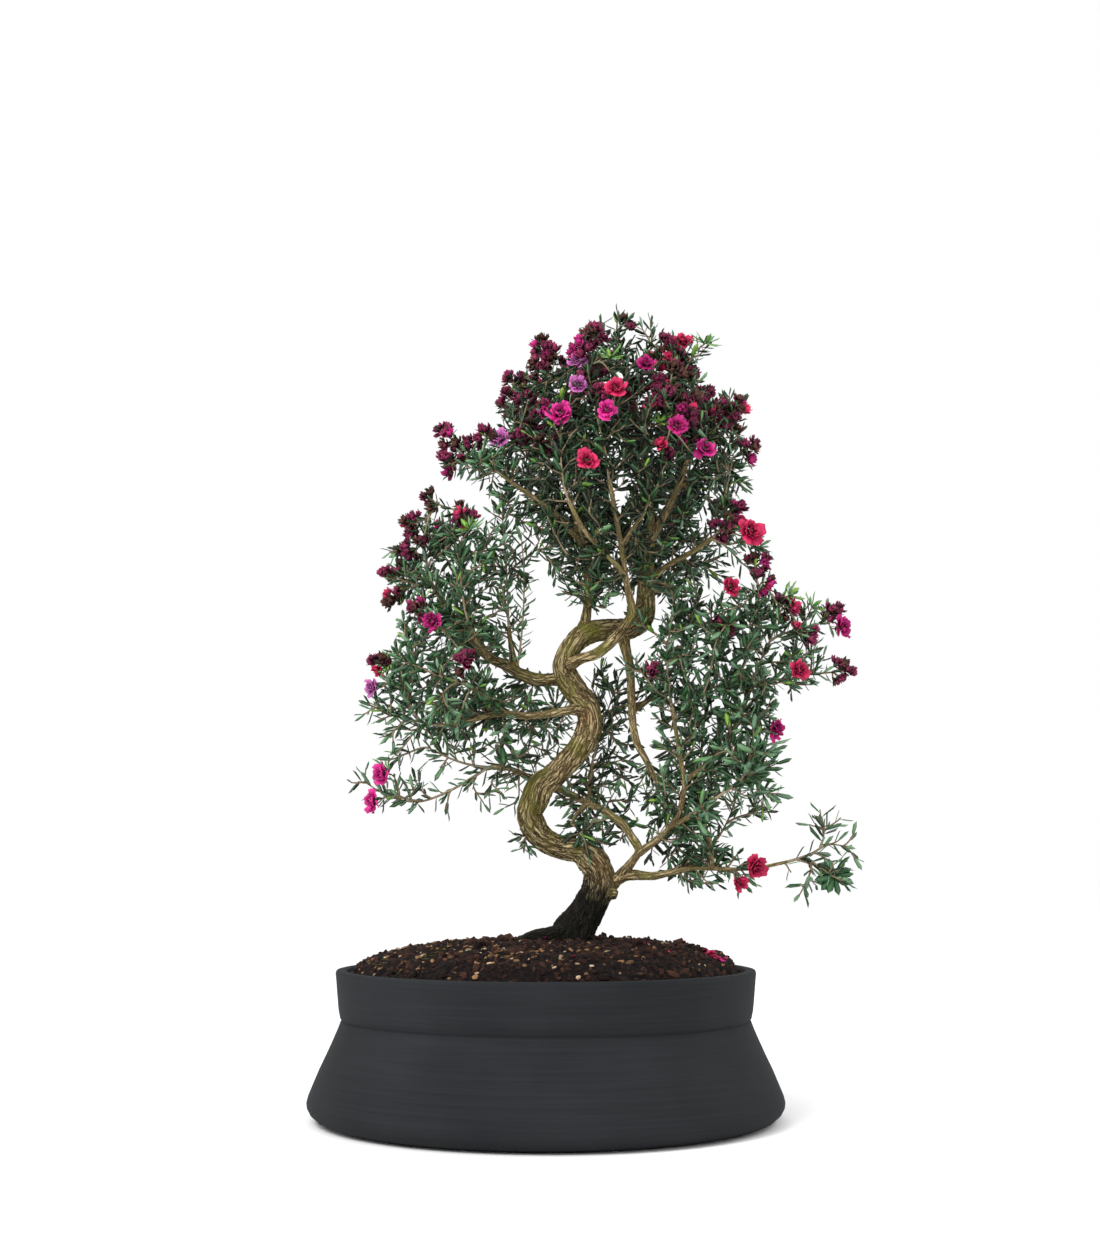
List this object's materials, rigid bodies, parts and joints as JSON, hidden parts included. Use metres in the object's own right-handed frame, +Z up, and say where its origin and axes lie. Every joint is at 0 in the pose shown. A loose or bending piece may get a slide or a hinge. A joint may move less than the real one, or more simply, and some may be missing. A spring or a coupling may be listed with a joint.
{
  "type": "tea tree bonsai",
  "caption": "Flowering tea tree bonsai with a twisting furrowed trunk, fine leafy sprays and pink double flowers, in a wide round charcoal pot with a flared skirt",
  "frame": {"origin": "centre of the pot's flat base", "axes": "+Z up along the tree's height; -Y is the front, towards a viewer; +X to that viewer's right"},
  "size_m": [0.3406, 0.2928, 0.5064],
  "materials": {
    "charcoal_clay": "matte",
    "soil": "rough",
    "bark": "rough",
    "leaf": "satin",
    "petal": "matte"
  },
  "bodies": {
    "root": {"pot": "charcoal_clay", "soil": "soil", "trunk": "bark", "spray_apex": "leaf", "spray_top_left": "leaf", "spray_top_front": "leaf", "spray_front_right": "leaf", "spray_front_left": "leaf", "spray_back_top": "leaf", "spray_back_left_top": "leaf", "spray_left_shoulder": "leaf", "spray_right_top": "leaf", "spray_right_edge": "leaf", "spray_back_right_top": "leaf", "spray_back_right": "leaf", "spray_right_mid": "leaf", "spray_left_high": "leaf", "spray_left_inner": "leaf", "spray_left_front": "leaf", "spray_left_back": "leaf", "spray_left_mid": "leaf", "spray_left_low_front": "leaf", "spray_left_low_back": "leaf", "spray_low_left": "leaf", "spray_inner_low": "leaf", "spray_hanging": "leaf", "spray_inner_back": "leaf", "spray_right_stem": "leaf", "spray_right_low": "leaf", "spray_right_lobe": "leaf", "spray_dark_stem": "leaf", "spray_low_right": "leaf", "spray_back_low": "leaf", "bloom_top_left": "petal", "bloom_apex": "petal", "bloom_top_right": "petal", "bloom_purple": "petal", "bloom_pink": "petal", "bloom_crimson": "petal", "bloom_upper_right": "petal", "bloom_right_shoulder": "petal", "bloom_front_right": "petal", "bloom_left_shoulder": "petal", "bloom_left_high": "petal", "bloom_left_edge": "petal", "bloom_left_front": "petal", "bloom_left_tip": "petal", "bloom_low_left": "petal", "bloom_right_mid": "petal", "bloom_right_inner": "petal", "bloom_right_high": "petal", "bloom_right_tip": "petal", "bloom_right_low": "petal", "bloom_right_under": "petal", "bloom_inner": "petal", "bloom_low_branch": "petal", "bloom_back_top": "petal", "bloom_back_right_top": "petal", "bloom_back_left": "petal", "bloom_back_right": "petal"}
  },
  "joints": []
}
